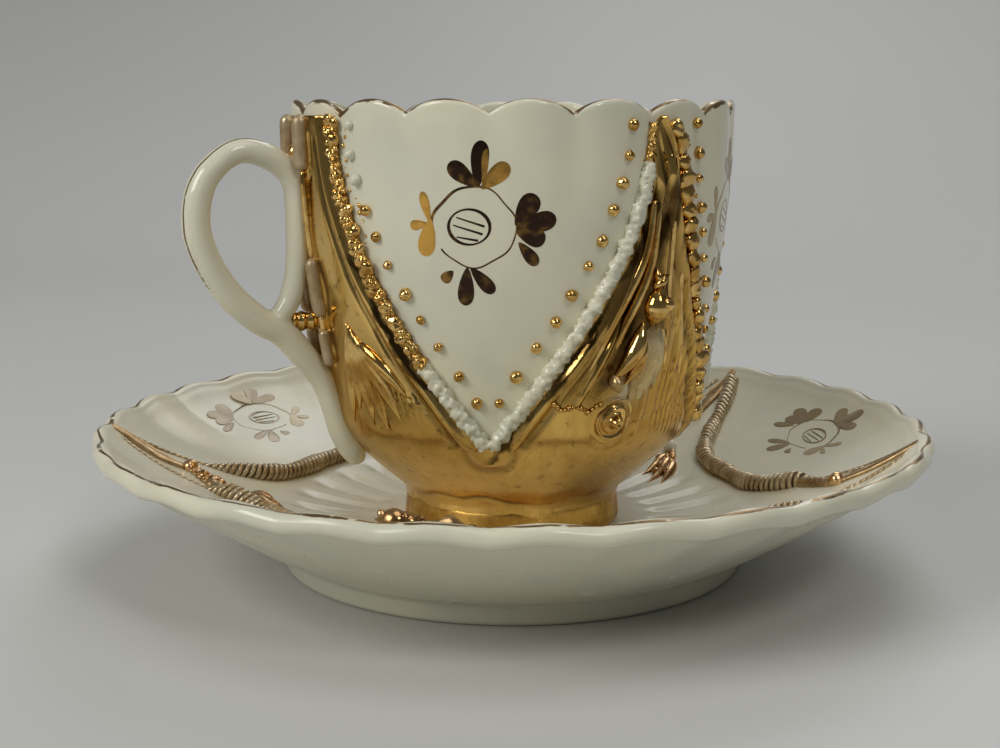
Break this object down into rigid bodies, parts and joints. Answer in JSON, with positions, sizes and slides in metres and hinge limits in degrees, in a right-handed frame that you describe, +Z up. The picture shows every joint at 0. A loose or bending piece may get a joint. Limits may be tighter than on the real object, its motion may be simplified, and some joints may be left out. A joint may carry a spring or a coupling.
{
  "type": "teacup and saucer",
  "caption": "Porcelain teacup with scalloped rim, looped handle and gilt relief sepals, standing in the seat of a lobed saucer with twisted gilt cords; the cup lifts off.",
  "frame": {"origin": "centre of the saucer's foot ring on the table", "axes": "+Z up through the cup and saucer, -X towards the cup's handle"},
  "size_m": [0.142, 0.142, 0.0785],
  "materials": {
    "porcelain": "clear gloss glaze",
    "gilding": "burnished gold on porcelain",
    "pale_gilding": "thin gold wash on porcelain",
    "worn_gilding": "rubbed gold on porcelain"
  },
  "bodies": {
    "saucer": {"saucer_plate": "porcelain", "saucer_foot_ring": "porcelain", "saucer_cord_1": "pale_gilding", "saucer_cord_2": "pale_gilding", "saucer_cord_3": "pale_gilding", "saucer_cord_4": "pale_gilding", "saucer_cord_5": "pale_gilding", "saucer_tip_1": "pale_gilding", "saucer_tip_2": "pale_gilding", "saucer_tip_3": "pale_gilding", "saucer_tip_4": "pale_gilding", "saucer_tip_5": "pale_gilding", "saucer_pearl_1": "gilding", "saucer_pearl_2": "gilding", "saucer_pearl_3": "gilding", "saucer_pearl_4": "gilding", "saucer_pearl_5": "gilding"},
    "cup": {"cup_bowl": "porcelain", "cup_foot_ring": "gilding", "gilt_calyx": "gilding", "handle": "porcelain", "handle_bridge": "gilding", "handle_bead": "gilding", "cup_cord_front_left": "gilding", "cup_cord_front_right": "gilding", "cup_cord_back_right": "gilding", "cup_cord_back_left": "gilding", "enamel_beads_front_left": "gilding", "enamel_beads_front_right": "gilding", "enamel_beads_back_right": "gilding", "enamel_beads_back_left": "gilding", "sepal_folds_front": "gilding", "sepal_folds_right": "gilding", "sepal_folds_back": "gilding", "sepal_bud_front": "gilding", "sepal_bud_right": "gilding", "sepal_bud_back": "gilding", "sepal_drop_front": "worn_gilding", "sepal_drop_right": "worn_gilding", "sepal_drop_back": "worn_gilding", "sepal_leaves_front": "gilding", "sepal_leaves_right": "gilding", "sepal_leaves_back": "gilding", "sepal_boss_front": "gilding", "sepal_boss_right": "gilding", "sepal_boss_back": "gilding"}
  },
  "joints": [
    {"name": "cup_lift", "type": "slide", "parent": "saucer", "child": "cup", "axis": [0, 0, 1], "range_m": [0, 0.08]}
  ]
}
